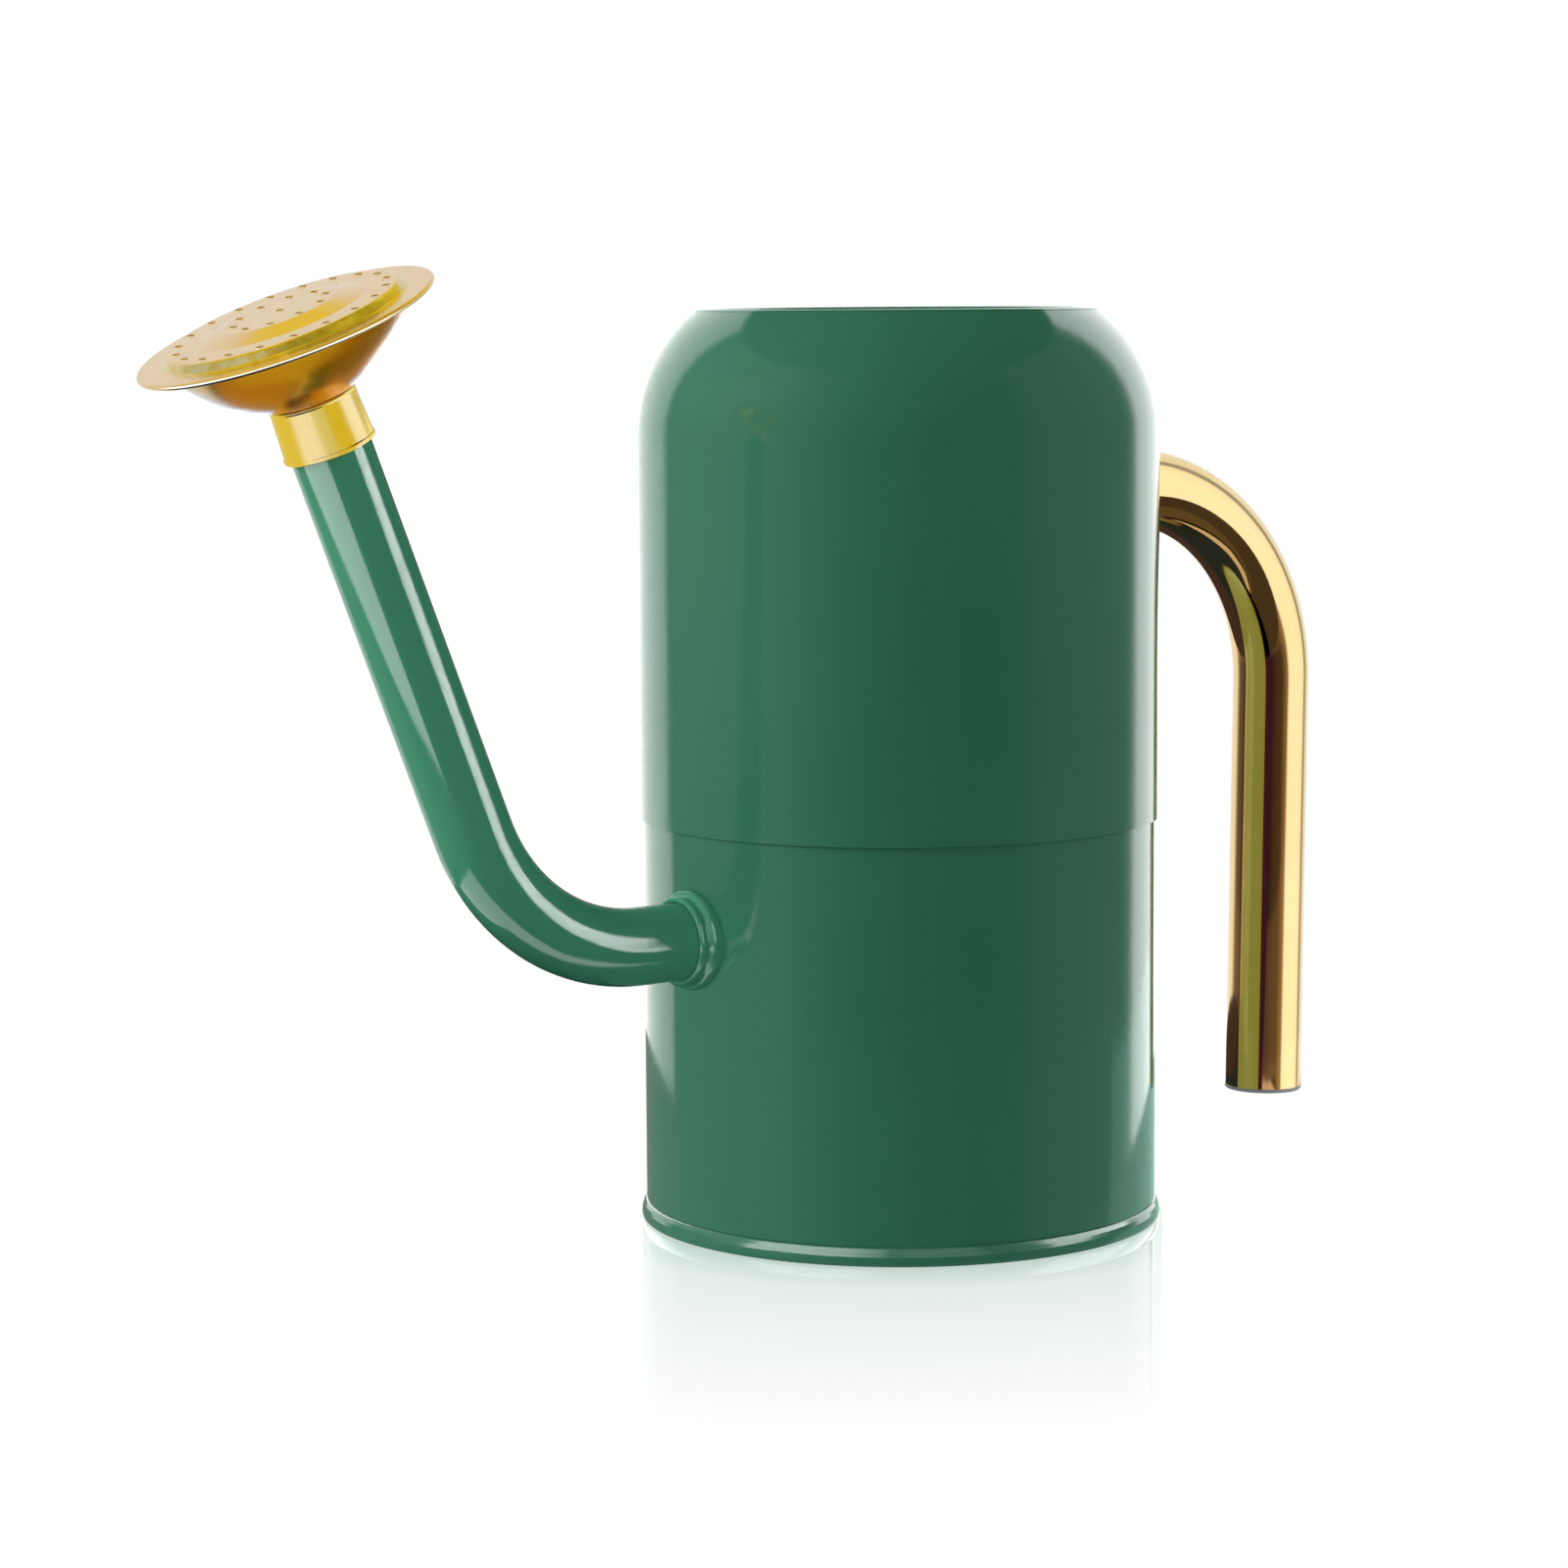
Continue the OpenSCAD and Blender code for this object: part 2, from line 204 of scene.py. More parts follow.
def plain(name, light, dark, rough_low, rough_high):
    s = Shader(name)
    tone = s.spread(s.noise(80.0, 3.0), 0.3, 0.7, 0.0, 1.0)
    rough = s.spread(s.noise(200.0, 3.0), 0.3, 0.7, rough_low, rough_high)
    surface = s.node("ShaderNodeBsdfPrincipled", Base_Color=s.blend(tone, light, dark), Roughness=rough,
                     Normal=s.bump(s.noise(900.0, 2.0), 0.00003, 0.3))
    return s.finish(surface.outputs["BSDF"])


def make_finishes():
    return {
        "green_enamel": green_enamel(),
        "brass_face": rose_face_brass(),
        "brass_bowl": metal("brass_bowl", rgb(0.87, 0.37, 0.014), rgb(0.77, 0.29, 0.007), 0.20, 0.32,
                            grain=500.0, grain_scale=(0.04, 0.04, 1), mottle=45.0),
        "brass_socket": metal("brass_socket", rgb(0.93, 0.68, 0.11), rgb(0.90, 0.63, 0.09), 0.14, 0.30,
                              grain=1500.0, grain_scale=(1, 1, 0.03), depth=0.00004),
        "gold_tube": metal("gold_tube", rgb(0.90, 0.70, 0.36), rgb(0.87, 0.66, 0.31), 0.05, 0.09),
        "zinc_steel": metal("zinc_steel", rgb(0.62, 0.63, 0.65), rgb(0.50, 0.51, 0.53), 0.30, 0.42),
        "black_rubber": plain("black_rubber", rgb(0.02, 0.02, 0.02), rgb(0.03, 0.03, 0.03), 0.55, 0.75),
        "grey_plastic": plain("grey_plastic", rgb(0.62, 0.63, 0.65), rgb(0.54, 0.55, 0.58), 0.30, 0.45),
    }


# ---------- studio ----------

SKY_FILL = 0.315
BACK = Vector((math.sin(math.radians(-CAMERA_AZIMUTH)), math.cos(math.radians(CAMERA_AZIMUTH)), 0))
SIDE = Vector((BACK.y, -BACK.x, 0))


def studio_place(right, back, up):
    """A point given as the photographer would: to the right of the can, behind it, and up."""
    return SIDE * right + BACK * back + Vector((0, 0, up))


def glow(name, clear):
    """Light in the colour and strength of the mesh's own points. A clear card hides nothing behind it."""
    s = Shader(name)
    shade = s.node("ShaderNodeAttribute", {"attribute_name": "shade"}).outputs["Color"]
    light = s.node("ShaderNodeEmission", Color=shade, Strength=1.0)
    if not clear:
        return s.finish(light.outputs["Emission"])
    both = s.node("ShaderNodeAddShader")
    s.wire(both.inputs[0], light.outputs["Emission"])
    s.wire(both.inputs[1], s.node("ShaderNodeBsdfTransparent").outputs["BSDF"])
    return s.finish(both.outputs["Shader"])


def group(name, pieces):
    made = bpy.data.collections.new(name)
    for piece in pieces:
        made.objects.link(piece)
    return made


def stage_piece(name, mesh, material):
    piece = bpy.data.objects.new(name, mesh)
    bpy.context.scene.collection.objects.link(piece)
    mesh.materials.append(material)
    return piece


def light_card(name, corners, faces, shades, lit, clear=True):
    """A card that shows in the gloss of the lit pieces only, and never to the camera. Cards that lie in
    one place hide each other, so no two cards meet."""
    mesh = bpy.data.meshes.new(name)
    mesh.from_pydata([tuple(c) for c in corners], [], faces)
    flat = [part for shade in shades for part in shade]
    mesh.attributes.new("shade", "FLOAT_COLOR", "POINT").data.foreach_set("color", flat)
    piece = stage_piece(name, mesh, glow(name, clear))
    piece.visible_camera = False
    piece.visible_diffuse = False
    piece.visible_shadow = False
    piece.light_linking.receiver_collection = group(name + "_on", lit)
    return piece


def shade_of(level, colour):
    return [part * level for part in colour[:3]] + [1.0]


def flat_card(name, patches, lit, **more):
    """Patches that don't overlap, each a list of corners with its strength and colour."""
    corners, faces, shades = [], [], []
    for outline, level, colour in patches:
        faces.append(tuple(range(len(corners), len(corners) + len(outline))))
        corners += outline
        shades += [shade_of(level, colour)] * len(outline)
    return light_card(name, corners, faces, shades, lit, **more)


def floor_card(name, height, patches, lit, **more):
    """A level card in patches, each an outline given to the right and behind."""
    placed = [([studio_place(right, back, height) for right, back in outline], level, colour)
              for outline, level, colour in patches]
    return flat_card(name, placed, lit, **more)


def side_card(name, right, outline, strength, lit):
    """An upright card facing the can from its right. The outline is given behind and up."""
    placed = [studio_place(right, back, up) for back, up in outline]
    return flat_card(name, [(placed, strength, WHITE)], lit)


def ring_card(name, radius, profile, low, high, lit, colour=None):
    """A card bent round the object. profile lists angle, level and perhaps colour. 0 is towards the front
    and + is to the right."""
    rows = [(row[0], shade_of(row[1], row[2] if len(row) > 2 else colour or WHITE)) for row in profile]
    corners, shades, faces = [], [], []
    for (from_angle, from_shade), (to_angle, to_shade) in zip(rows, rows[1:]):
        steps = max(1, round(abs(to_angle - from_angle) / 4))
        for i in range(steps + 1):
            share = i / steps
            angle = math.radians(from_angle + (to_angle - from_angle) * share)
            for z in (low, high):
                corners.append(studio_place(radius * math.sin(angle), -radius * math.cos(angle), z))
                shades.append([a + (b - a) * share for a, b in zip(from_shade, to_shade)])
            if i:
                n = len(corners)
                faces.append((n - 4, n - 2, n - 1, n - 3))
    return light_card(name, corners, faces, shades, lit)


def soft_light(name, where, aim, size, power, lit=None, shaded_by=None):
    """An area light that leaves no spot in the gloss. lit limits what it lights, and shaded_by limits
    what throws its shadows."""
    data = bpy.data.lights.new(name, "AREA")
    data.shape = "DISK"
    data.size = size
    data.energy = power
    light = bpy.data.objects.new(name, data)
    light.location = where
    light.rotation_mode = "QUATERNION"
    light.rotation_quaternion = (aim - where).to_track_quat("-Z", "Y")
    light.visible_glossy = False
    if lit:
        light.light_linking.receiver_collection = group(name + "_on", lit)
    if shaded_by:
        light.light_linking.blocker_collection = group(name + "_shade", shaded_by)
    bpy.context.scene.collection.objects.link(light)


def add_world(fill):
    """White to the camera, dark in the gloss, where cards take over, and an even fill for the rest."""
    world = bpy.data.worlds.new("studio")
    world.use_nodes = True
    tree = world.node_tree
    tree.nodes.clear()
    ray = tree.nodes.new("ShaderNodeLightPath")
    sky = tree.nodes.new("ShaderNodeBackground")
    sky.inputs["Color"].default_value = WHITE
    out = tree.nodes.new("ShaderNodeOutputWorld")
    level = fill
    for kind, strength in (("Is Glossy Ray", 0.0), ("Is Camera Ray", 1.0)):
        step = tree.nodes.new("ShaderNodeMix")
        tree.links.new(ray.outputs[kind], step.inputs["Factor"])
        if isinstance(level, float):
            step.inputs["A"].default_value = level
        else:
            tree.links.new(level, step.inputs["A"])
        step.inputs["B"].default_value = strength
        level = step.outputs["Result"]
    tree.links.new(level, sky.inputs["Strength"])
    tree.links.new(sky.outputs["Background"], out.inputs["Surface"])
    bpy.context.scene.world = world


def white_sheet(name, outline, height, material):
    """A level sheet that only the camera sees. Its outline is given to the right and behind."""
    mesh = bpy.data.meshes.new(name)
    corners = [tuple(studio_place(right, back, height)) for right, back in outline]
    mesh.from_pydata(corners, [], [tuple(range(len(corners)))])
    sheet = stage_piece(name, mesh, material)
    sheet.visible_diffuse = False
    sheet.visible_glossy = False
    sheet.visible_shadow = False
    return sheet


def add_floor():
    """A white floor, with a sheet before the can that mirrors its foot and fades towards the front. Where it
    mirrors, its white is also tinted green, a painted reflection, and just round the foot it mirrors more, a
    painted contact shadow.
    """
    plain_white = Shader("floor_white")
    light = plain_white.node("ShaderNodeEmission", Color=WHITE, Strength=1.0)
    square = [(-3, -3), (3, -3), (3, 3), (-3, 3)]
    white_sheet("floor", square, 0, plain_white.finish(light.outputs["Emission"]))

    s = Shader("floor_gloss_and_painted_shade")
    away = s.node("ShaderNodeVectorMath", {"operation": "LENGTH"})
    s.wire(away.inputs[0], s.place())
    share = s.node("ShaderNodeMath", {"operation": "ADD"})
    # The first ramp mirrors more just round the foot: painted contact shadow. The second fades the mirror out
    # towards the front.
    for socket, (near, far, most) in zip(share.inputs, ((0.072, 0.096, 0.18), (0.07, 0.235, 0.20))):
        s.wire(socket, s.spread(away.outputs["Value"], near, far, most, 0.0))
    share = share.outputs["Value"]
    # The white is tinted green by the same share: painted green reflection of the can.
    white_tinted_by_painted_reflection = s.node("ShaderNodeEmission", Color=s.blend(share, WHITE, rgb(0.6, 1, 0.8)), Strength=1.0)
    mirror = s.node("ShaderNodeBsdfGlossy", Roughness=0.03)
    mixed = s.node("ShaderNodeMixShader", Fac=share)
    s.wire(mixed.inputs[1], white_tinted_by_painted_reflection.outputs["Emission"])
    s.wire(mixed.inputs[2], mirror.outputs["BSDF"])
    before_can = [(-0.0716, 0), (0.0726, 0), (0.0335, -0.44), (-0.0555, -0.44)]
    gloss = white_sheet("floor_gloss_and_painted_shade", before_can, 0.0001, s.finish(mixed.outputs["Shader"]))
    ring_card("floor_backdrop", 1.9, [(150, 1), (210, 1)], 0.05, 1.2, [gloss])


def can_cards(can, bead):
    """Dark in front and pale behind, over a grey table that is a little lighter on the right."""
    ring_card("can_surround", 2.0, [
        (-180, 1.7), (-126, 1.6), (-121, 0.22), (-118, 0.22), (-90, 0.33), (-54, 0.33), (-40, 0.12),
        (-22, 0.0), (50, 0.0), (60, 0.15), (115, 0.2), (121, 0.6), (127, 2.6), (180, 2.2)], -1.4, 2.2, can)
    turns = [math.radians(6 * k) for k in range(60)]
    table = [(0.215 * math.cos(a) - 0.03, 0.215 * math.sin(a) + 0.12) for a in turns]
    floor_card("can_table", -0.004, [(table, 0.24, WHITE)], can, clear=False)
    right = [(0.058, -0.045), (0.35, 0.055), (0.35, 0.4), (0.03, 0.4)]
    floor_card("can_table_right", -0.0035, [(right, 0.6, rgb(0.5, 1, 0.8))], can)
    ring_card("bead_glance", 1.0, [
        (-180, 4.2), (-140, 3.5), (-125, 0.7), (-75, 0.3), (-69, 7), (-30, 6.3), (-10, 2), (-6, 0.4),
        (4, 1), (34, 1), (40, 0.2), (64, 0.7), (70, 7), (114, 7), (120, 0.7), (135, 1.4), (150, 4.2),
        (180, 4.2)], 0.2, 1.3, bead)


def spout_cards(spout):
    """A tall softbox far to the right with a thin bright rim, and white sheets on the table in front."""
    ring_card("spout_surround", 2.1, [(-180, 1.0), (-127, 1.0), (-126, 0.3), (-40, 0.0)], -1.4, 2.2, spout)
    side_card("spout_softbox", 3.0, [
        (0.88, -0.45), (0.92, 0.64), (0.25, 0.60), (0.0, 0.75), (-0.25, 1.1), (-0.6, 1.77), (-0.85, 1.73),
        (-0.95, 0.85), (-1.05, 0.16), (-1.2, -0.45)], 9.5, spout)
    side_card("spout_softbox_rim", 3.01, [
        (0.96, 0.66), (0.6, 0.88), (-0.12, 1.52), (-0.45, 2.1), (-0.47, 2.17), (-0.13, 1.60), (0.6, 0.96),
        (1.02, 0.70)], 8.0, spout)
    left = [(-0.14, -0.30), (-0.204, -0.273), (-0.276, -0.236), (-0.365, -0.203), (-0.52, -0.09),
            (-0.55, -0.50), (-0.18, -0.50)]
    near = [(-0.225, -0.02), (-0.21, -0.10), (-0.173, -0.174), (-0.123, -0.154), (-0.089, -0.137),
            (-0.048, -0.104), (0.0, -0.100), (0.056, -0.080), (0.0, -0.083), (-0.07, -0.083),
            (-0.126, -0.095), (-0.168, -0.056)]
    floor_card("spout_sheets", -0.002, [(left, 5.4, WHITE), (near, 2.8, WHITE)], spout)


def flange_cards(flange):
    """Two upright strips in front, for the bright lines on the rolled ridges at the spout's root."""
    ring_card("flange_glance", 1.05, [
        (-62, 0), (-58, 5), (-40, 5), (-36, 0), (8, 0), (12, 6), (34, 6), (38, 0)], 0.1, 1.0, flange)


def handle_cards(handle):
    """Cream at both sides, dark plum and brown in front, and a brown table with a pale streak."""
    plum, brown, tan = rgb(1, 0.30, 0.7), rgb(1, 0.60, 0.36), rgb(1, 0.8, 0.6)
    ring_card("handle_surround", 2.2, [
        (-180, 0.95), (-134, 0.95), (-122, 0.35, tan), (-114, 0.13, tan), (-100, 0.12, tan),
        (-95, 0.045, plum), (-20, 0.042, plum), (4, 0.042, plum), (12, 0.055, brown), (34, 0.08, brown),
        (50, 0.3, brown), (57, 1.2), (92, 1.25), (113, 1.1), (118, 0.4), (127, 0.4), (132, 0.95),
        (180, 0.95)], -0.5, 2.6, handle)
    near = [(0.19, 0.25), (0.185, 0.0), (0.19, -0.05), (0.15, -0.08), (0.08, -0.085), (0.08, -0.09),
            (0.17, -0.092), (0.24, -0.06), (0.3, 0.0), (0.32, 0.1), (0.3, 0.19)]
    far = [(0.08, -0.09), (0.17, -0.092), (0.24, -0.06), (0.3, 0.0), (0.32, 0.1), (0.3, 0.19),
           (0.65, 0.4), (0.78, 0.0), (0.65, -0.48), (0.08, -0.48)]
    streak = [(0.175, 0.10), (0.168, 0.05), (0.172, 0.0), (0.175, -0.035), (0.15, -0.068), (0.09, -0.078),
              (0.085, -0.058), (0.122, -0.038), (0.138, -0.012), (0.140, 0.02), (0.15, 0.06)]
    under = [(-0.2, -0.05), (0.08, -0.05), (0.118, -0.032), (0.134, 0.0), (0.136, 0.03), (0.145, 0.08),
             (0.16, 0.2), (0.02, 0.2), (-0.06, 0.125), (-0.2, 0.08)]
    behind = [(-0.2, 0.08), (-0.06, 0.125), (0.02, 0.2), (0.16, 0.2), (0.165, 0.7), (-0.5, 0.7),
              (-0.5, 0.1)]
    floor_card("handle_table", -0.0015, [
        (near, 0.115, rgb(1, 0.68, 0.35)), (streak, 0.64, rgb(1, 0.78, 0.61)),
        (under, 0.034, rgb(0.6, 0.85, 1)), (behind, 0.055, rgb(1, 0.6, 0.6)),
        (far, 0.065, rgb(1, 0.68, 0.4))], handle)
    ring_card("handle_can_glow", 0.0745, [(47, 0.0), (60, 0.22), (180, 0.22), (207, 0.0)], 0.0, 0.2, handle,
              colour=rgb(1, 0.80, 0.12))


def can_glow(name, radius, profile, lit, colour):
    """Lifts what a part of the rose mirrors of the can's side. The card stands just off the can's wall."""
    ring_card(name, radius, profile, 0.0, 0.243, lit, colour=colour)


def face_cards(face):
    """Warm white all round for the flat sheet, strong in front for the hem, and yellow above for the
    slopes."""
    yellow, cool, warm = rgb(1, 0.79, 0.08), rgb(0.35, 0.45, 1), rgb(0.97, 0.90, 0.86)
    ring_card("face_low", 2.25, [
        (-180, 0.83, warm), (-110, 0.9, warm), (-90, 4.5, cool), (90, 4.5, cool), (110, 0.8, warm),
        (180, 0.83, warm)], -1.3, 0.6, face)
    ring_card("face_middle", 2.25, [
        (-180, 0.83), (-120, 0.9), (-95, 0.6), (-50, 0.7), (-20, 0.85), (60, 0.7), (120, 0.8),
        (180, 0.83)], 0.61, 1.85, face, colour=warm)
    ring_card("face_high", 2.25, [
        (-180, 0.86), (-110, 0.9), (-60, 0.75), (-30, 0.42), (110, 0.42), (140, 0.8), (180, 0.86)],
        1.86, 4.6, face, colour=yellow)
    ceiling = [(-2.3, -2.3), (2.3, -2.3), (2.3, 2.3), (-2.3, 2.3)]
    floor_card("face_overhead", 4.6, [(ceiling, 0.5, yellow)], face)
    can_glow("face_can_glow", 0.0757, [(-133, 0), (-120, 0.5), (0, 0.5), (27, 0)], face, rgb(1, 0.75, 0.2))


def bowl_cards(bowl):
    """The table seen in the bowl: amber near the can and pale far off, with pale blue at the edges."""
    pale, blue = rgb(0.62, 0.79, 1.0), rgb(0.30, 0.53, 1.0)
    ring_card("bowl_surround", 2.28, [
        (-180, 2.6, blue), (-150, 2.6, blue), (-140, 0.7), (-90, 0.5), (130, 0.6), (146, 4.0, blue),
        (180, 4.0, blue)], -0.6, 3.0, bowl, colour=pale)
    front = [(-0.27, -0.5), (0.4, -0.5), (0.4, -0.07), (-0.06, -0.063), (-0.095, -0.06), (-0.27, -0.05)]
    left = [(-0.27, -0.05), (-0.095, -0.06), (-0.10, -0.03), (-0.095, 0.06), (-0.095, 0.24), (-0.12, 1.2),
            (-0.15, 1.2), (-0.19, 0.34), (-0.26, 0.28)]
    streak = [(-0.095, -0.06), (-0.06, -0.063), (-0.062, -0.04), (-0.055, 0.07), (-0.06, 0.24),
              (-0.095, 0.24), (-0.095, 0.06), (-0.10, -0.03)]
    right = [(-0.06, -0.063), (0.4, -0.07), (0.4, 0.40), (0.0, 0.45), (-0.05, 1.2), (-0.12, 1.2),
             (-0.095, 0.24), (-0.06, 0.24), (-0.055, 0.07), (-0.062, -0.04)]
    far_left = [(-1.5, 0.0), (-0.29, 0.0), (-0.265, 0.29), (-0.195, 0.35), (-0.16, 0.7), (-0.16, 2.5),
                (-1.5, 2.5)]
    far_right = [(0.0, 0.5), (0.05, 0.42), (1.5, 0.42), (1.5, 2.5), (-0.05, 2.5)]
    floor_card("bowl_table", -0.003, [
        (front, 0.68, rgb(0.85, 1.0, 0.6)), (left, 0.5, rgb(1, 0.85, 0.25)),
        (streak, 0.78, rgb(0.76, 1.0, 0.56)), (right, 0.42, rgb(1, 0.85, 0.3)),
        (far_left, 2.3, rgb(0.35, 0.58, 1)), (far_right, 3.0, rgb(0.35, 0.55, 1))], bowl)
    can_glow("bowl_can_glow", 0.0755, [(-133, 0), (-120, 0.2), (0, 0.2), (27, 0)], bowl, rgb(1, 0.32, 0.1))


def socket_cards(socket):
    """Yellow and straw all round, with paler strips that leave bands along the turned socket."""
    yellow, cream, soft = rgb(1, 0.92, 0.2), rgb(0.28, 0.31, 1), rgb(0.61, 0.66, 1)
    edge, straw, tan = rgb(0.75, 0.76, 0.7), rgb(0.9, 0.88, 0.46), rgb(1, 0.9, 0.75)
    ring_card("socket_surround", 2.3, [
        (-180, 1.0, edge), (-133, 0.9, straw), (-72, 0.9, straw), (-58, 3.6, cream), (-10, 3.6, cream),
        (-2, 1.25, soft), (22, 1.2, soft), (28, 0.72, yellow), (68, 0.72, yellow), (77, 3.7, cream),
        (116, 3.7, cream), (124, 0.7, tan), (180, 0.9, edge)], -3.0, 3.0, socket)
    can_glow("socket_can_glow", 0.0759, [(-133, 0), (-120, 0.8), (-85, 1.2), (0, 1.2), (27, 0)], socket,
             rgb(0.75, 0.72, 1))


def add_studio(rose, flange, base):
    """The floor, the sky, a set of cards for each group of pieces, and four lamps. The key on the left is
    shaded by the can alone, so that the spout and the rose throw no shadow on it."""
    nodes = frame["nodes"]
    can = [nodes["upper_shell"], nodes["lower_shell"], base]
    spout = [nodes["spout_tube"], flange]
    handle = [nodes["handle_tube"], nodes["handle_saddle"], nodes["handle_end_plug"]]
    middle = Vector((0, 0, 0.12))
    add_world(SKY_FILL)
    add_floor()
    can_cards(can, [base])
    spout_cards(spout)
    flange_cards([flange])
    handle_cards(handle)
    for cards, piece in zip((face_cards, bowl_cards, socket_cards), rose):
        cards([piece])
    soft_light("key_left", studio_place(-1.38, -0.29, 0.7), middle, 0.8, 9.3, shaded_by=can)
    soft_light("fill_right", studio_place(1.4, 0.2, 0.7), middle, 0.8, 3)
    soft_light("key_spout", studio_place(-1.2, -0.5, 0.7), middle, 0.8, 9, spout)
    soft_light("fill_spout", studio_place(0.3, -1.2, 0.4), middle, 0.8, 4, spout)


# ---------- shapes ----------

def rounded(corners, steps=6):
    """Corners (x, y, fillet) as a line whose corners are turned on arcs of about that radius."""
    line = []
    for i, (x, y, fillet) in enumerate(corners):
        here = Vector((x, y))
        if not fillet:
            line.append(here)
            continue
        before = Vector(corners[i - 1][:2]) - here
        after = Vector(corners[(i + 1) % len(corners)][:2]) - here
        back = min(fillet / math.tan(before.angle(after) / 2), before.length * 0.49, after.length * 0.49)
        start, end = here + before.normalized() * back, here + after.normalized() * back
        for k in range(steps + 1):
            t = k / steps
            line.append(start * (1 - t) ** 2 + here * (2 * t * (1 - t)) + end * t ** 2)
    return line


def arc(centre, radius, start, end, steps=24):
    """Points on an arc, as corners with no fillet. Angles in degrees."""
    turns = [math.radians(start + (end - start) * k / steps) for k in range(steps + 1)]
    return [(centre[0] + radius * math.cos(a), centre[1] + radius * math.sin(a), 0) for a in turns]


def revolve(name, outline, segments=192):
    """A closed outline of (radius, height) in millimetres, turned round Z."""
    mesh = bmesh.new()
    rings = []
    for r, z in outline:
        if r < 1e-6:
            rings.append([mesh.verts.new((0, 0, z * MM))])
            continue
        turn = [2 * math.pi * k / segments for k in range(segments)]
        rings.append([mesh.verts.new((r * math.cos(a) * MM, r * math.sin(a) * MM, z * MM)) for a in turn])
    for lower, upper in zip(rings, rings[1:] + rings[:1]):
        for k in range(segments):
            corners = [lower[k % len(lower)], lower[(k + 1) % len(lower)],
                       upper[(k + 1) % len(upper)], upper[k % len(upper)]]
            corners = list(dict.fromkeys(corners))
            if len(corners) > 2:
                mesh.faces.new(corners)
    return add_piece(name, mesh)


def add_piece(name, mesh):
    """Turns a bmesh into a smooth-shaded object."""
    bmesh.ops.recalc_face_normals(mesh, faces=mesh.faces)
    data = bpy.data.meshes.new(name)
    mesh.to_mesh(data)
    mesh.free()
    for face in data.polygons:
        face.use_smooth = True
    piece = bpy.data.objects.new(name, data)
    bpy.context.scene.collection.objects.link(piece)
    return piece


def drill(piece, places, radius, depth):
    """Cuts round holes along Z at places (x, y, z), all in millimetres."""
    tool = bmesh.new()
    for place in places:
        made = bmesh.ops.create_cone(tool, cap_ends=True, segments=20, radius1=radius * MM,
                                     radius2=radius * MM, depth=depth * MM)
        bmesh.ops.translate(tool, verts=made["verts"], vec=Vector(place) * MM)
    cutter = add_piece("cutter", tool)
    cut = piece.modifiers.new("holes", "BOOLEAN")
    cut.operation = "DIFFERENCE"
    cut.solver = "EXACT"
    cut.object = cutter
    apply_modifiers(piece)
    bpy.data.objects.remove(cutter)


def apply_modifiers(piece):
    shown = piece.evaluated_get(bpy.context.evaluated_depsgraph_get())
    data = bpy.data.meshes.new_from_object(shown)
    piece.modifiers.clear()
    piece.data = data


def finish_piece(piece, place, material, slot, body, *nodes):
    """Puts a piece in its place on its body, with its finish, and hides the plain nodes it stands for."""
    piece.matrix_world = place
    piece.data.materials.clear()
    piece.data.materials.append(material)
    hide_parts(*nodes)
    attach(piece, body)
    return piece


# ---------- rose ----------

ROSE_JOINT = next(j for j in frame["joints"] if j["name"] == "rose_turn")
TIP_AXIS = Vector(ROSE_JOINT["axis"])
TIP = Matrix.Translation(ROSE_JOINT["pos_m"]) @ TIP_AXIS.to_track_quat("Z", "Y").to_matrix().to_4x4()


def reach_on_tip(node):
    """A node's lowest and highest place along the tip's axis and its radius round it, in millimetres."""
    to_tip = TIP.inverted()
    spots = [to_tip @ v.co / MM for v in frame["nodes"][node].data.vertices]
    return min(p.z for p in spots), max(p.z for p in spots), max(math.hypot(p.x, p.y) for p in spots)


# The rose, in millimetres. Heights are along the spout's axis from its end.
HEM_R = 0.7
FACE_LOW, MIDDLE_Z, ROSE_R = reach_on_tip("rose_face")
EDGE_Z = FACE_LOW + 2 * HEM_R
RING_Z = MIDDLE_Z - 1.5
SOCKET_LOW, SOCKET_TOP, SOCKET_R = reach_on_tip("rose_collar")
FACE_SHEET = 0.55
HOLE_R, HOLE_DEPTH = 0.8, 4.0
LIP_R, LIP_WIRE_R = 1.0, 0.2
# Each ring's radius, its number of holes and the angle of its first one.
HOLE_RINGS = ((0, 1, 0), (12.0, 10, 28), (27.4, 20, 10))


def hole_places():
    """Middle of each spray hole on the face, in the rose's own millimetres."""
    for ring_r, count, phase in HOLE_RINGS:
        height = RING_Z if ring_r > 20 else MIDDLE_Z
        for i in range(count):
            a = math.radians(phase + 360 * i / count)
            yield ring_r * math.cos(a), ring_r * math.sin(a), height


def add_lips(mesh, places, ring_r, wire_r):
    """The burr that the punch leaves round each hole: a small rounded ring, half sunk in the sheet."""
    turns, sides = 20, 8
    for x, y, z in places:
        grid = []
        for i in range(turns):
            a = 2 * math.pi * i / turns
            row = []
            for k in range(sides):
                b = 2 * math.pi * k / sides
                r = ring_r + wire_r * math.cos(b)
                row.append(mesh.verts.new(((x + r * math.cos(a)) * MM, (y + r * math.sin(a)) * MM,
                                           (z + wire_r * math.sin(b)) * MM)))
            grid.append(row)
        for i in range(turns):
            for k in range(sides):
                mesh.faces.new((grid[i][k], grid[i - turns + 1][k], grid[i - turns + 1][k - sides + 1],
                                grid[i][k - sides + 1]))


